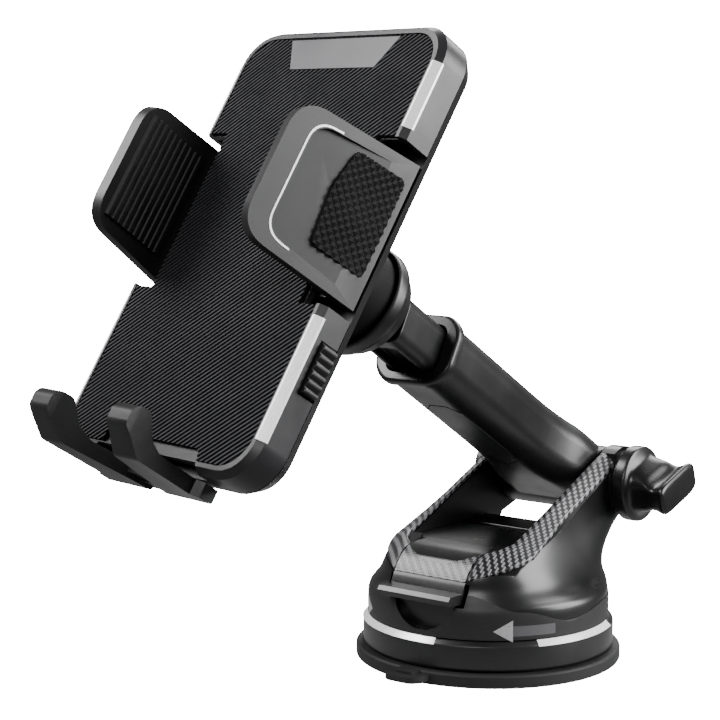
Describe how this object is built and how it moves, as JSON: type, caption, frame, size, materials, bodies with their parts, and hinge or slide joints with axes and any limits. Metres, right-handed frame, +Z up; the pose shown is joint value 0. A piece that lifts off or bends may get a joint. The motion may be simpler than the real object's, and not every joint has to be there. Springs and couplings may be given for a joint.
{
  "type": "car phone mount",
  "caption": "Suction-base dashboard phone mount: lock lever, forked pivot, telescopic arm, ball joint and a spring-clamp cradle with sliding jaws and feet.",
  "frame": {"origin": "centre of the flat sticky underside of the suction base", "axes": "+Z up out of the dashboard, -Y towards the lock lever and the cradle, +X towards the wing knob"},
  "size_m": [0.0847, 0.1934, 0.167],
  "materials": {
    "gel": "satin",
    "rubber": "matte",
    "inner_plastic": "matte",
    "satin_plastic": "satin",
    "gloss_plastic": "gloss",
    "grey_plastic": "satin",
    "weave_film": "woven film",
    "bright_trim": "bright",
    "steel": "satin",
    "brass": "satin"
  },
  "bodies": {
    "base": {"gel_pad": "gel", "suction_cup": "rubber", "cup_backing": "inner_plastic", "base_ring": "satin_plastic", "ring_trim_1": "bright_trim", "ring_trim_2": "bright_trim", "ring_trim_3": "bright_trim", "base_shell": "gloss_plastic", "carbon_band_left": "weave_film", "carbon_band_right": "weave_film", "deck_cover": "gloss_plastic", "floor_plate": "inner_plastic", "base_screw_1": "steel", "base_screw_2": "steel", "base_screw_3": "steel", "stem_spring": "steel", "lever_pin": "steel", "pivot_bolt": "satin_plastic", "washer_left": "rubber", "washer_right": "rubber"},
    "stem": {"stem": "inner_plastic", "stem_pin": "steel"},
    "lever": {"lock_lever": "gloss_plastic", "lever_band": "weave_film"},
    "knob": {"wing_knob": "gloss_plastic", "knob_insert": "brass"},
    "outer_arm": {"outer_arm": "satin_plastic", "arm_inlay": "grey_plastic", "mouth_bezel": "satin_plastic"},
    "inner_arm": {"inner_arm": "satin_plastic", "friction_shoe": "inner_plastic", "ball_stud": "satin_plastic"},
    "liner": {"socket_liner": "inner_plastic"},
    "collet": {"collet": "satin_plastic"},
    "nut": {"lock_nut": "satin_plastic"},
    "cradle": {"front_frame": "satin_plastic", "rail_left_upper": "bright_trim", "rail_left_lower": "bright_trim", "rail_right_upper": "bright_trim", "rail_right_lower": "bright_trim", "face_pad": "rubber", "notch_plate": "grey_plastic", "rear_cover": "satin_plastic", "cover_screw_1": "steel", "cover_screw_2": "steel", "cover_screw_3": "steel", "cover_screw_4": "steel", "inner_chassis": "inner_plastic"},
    "pinion": {"pinion": "inner_plastic"},
    "jaw_left": {"jaw_left": "grey_plastic", "grip_left": "rubber", "jaw_pad_left": "rubber", "rack_left": "inner_plastic"},
    "jaw_right": {"jaw_right": "grey_plastic", "grip_right": "rubber", "jaw_pad_right": "rubber", "rack_right": "inner_plastic"},
    "button_left": {"button_left": "satin_plastic"},
    "button_right": {"button_right": "satin_plastic"},
    "feet": {"foot_bracket": "satin_plastic"}
  },
  "joints": [
    {"name": "lever_hinge", "type": "hinge", "parent": "base", "child": "lever", "pos_m": [0, 0.009, 0.0295], "axis": [1, 0, 0], "range_deg": [-40, 0]},
    {"name": "stem_slide", "type": "slide", "parent": "base", "child": "stem", "axis": [0, 0, 1], "range_m": [-0.00165, 0], "deforming": ["stem_spring"]},
    {"name": "arm_pivot", "type": "hinge", "parent": "base", "child": "outer_arm", "pos_m": [0, 0.037, 0.0445], "axis": [-1, 0, 0], "range_deg": [-8, 110]},
    {"name": "knob_turn", "type": "hinge", "parent": "base", "child": "knob", "pos_m": [0, 0.037, 0.0445], "axis": [1, 0, 0], "continuous": true},
    {"name": "arm_slide", "type": "slide", "parent": "outer_arm", "child": "inner_arm", "axis": [0, -0.8572, 0.515], "range_m": [-0.011, 0.026]},
    {"name": "ball_tilt", "type": "hinge", "parent": "inner_arm", "child": "liner", "pos_m": [0, -0.06329, 0.10476], "axis": [0.981, -0.1938, 0.0042], "range_deg": [-10, 10]},
    {"name": "ball_pan", "type": "hinge", "parent": "liner", "child": "collet", "pos_m": [0, -0.06329, 0.10476], "axis": [0.1008, 0.5288, 0.8427], "range_deg": [-4, 20]},
    {"name": "nut_turn", "type": "hinge", "parent": "collet", "child": "nut", "pos_m": [0, -0.06329, 0.10476], "axis": [-0.1655, -0.8263, 0.5383], "continuous": true},
    {"name": "cradle_roll", "type": "hinge", "parent": "collet", "child": "cradle", "pos_m": [0, -0.06329, 0.10476], "axis": [-0.1655, -0.8263, 0.5383], "continuous": true},
    {"name": "jaw_left_slide", "type": "slide", "parent": "cradle", "child": "jaw_left", "axis": [-0.981, 0.1938, -0.0042], "range_m": [0, 0.012]},
    {"name": "jaw_right_slide", "type": "slide", "parent": "cradle", "child": "jaw_right", "axis": [0.981, -0.1938, 0.0042], "range_m": [0, 0.012]},
    {"name": "pinion_spin", "type": "hinge", "parent": "cradle", "child": "pinion", "pos_m": [-0.00504, -0.08841, 0.12409], "axis": [-0.1655, -0.8263, 0.5383], "range_deg": [-1, 116]},
    {"name": "button_left_press", "type": "slide", "parent": "cradle", "child": "button_left", "axis": [0.981, -0.1938, 0.0042], "range_m": [0, 0.0015], "stiffness_N_per_m": 600},
    {"name": "button_right_press", "type": "slide", "parent": "cradle", "child": "button_right", "axis": [-0.981, 0.1938, -0.0042], "range_m": [0, 0.0015], "stiffness_N_per_m": 600},
    {"name": "foot_slide", "type": "slide", "parent": "cradle", "child": "feet", "axis": [-0.1008, -0.5288, -0.8427], "range_m": [0, 0.01]}
  ],
  "couplings": [
    {"joint": "stem_slide", "follows": "lever_hinge", "m_per_rad": 0.0023},
    {"joint": "jaw_right_slide", "follows": "jaw_left_slide", "ratio": 1},
    {"joint": "pinion_spin", "follows": "jaw_left_slide", "rad_per_m": 166.67}
  ]
}
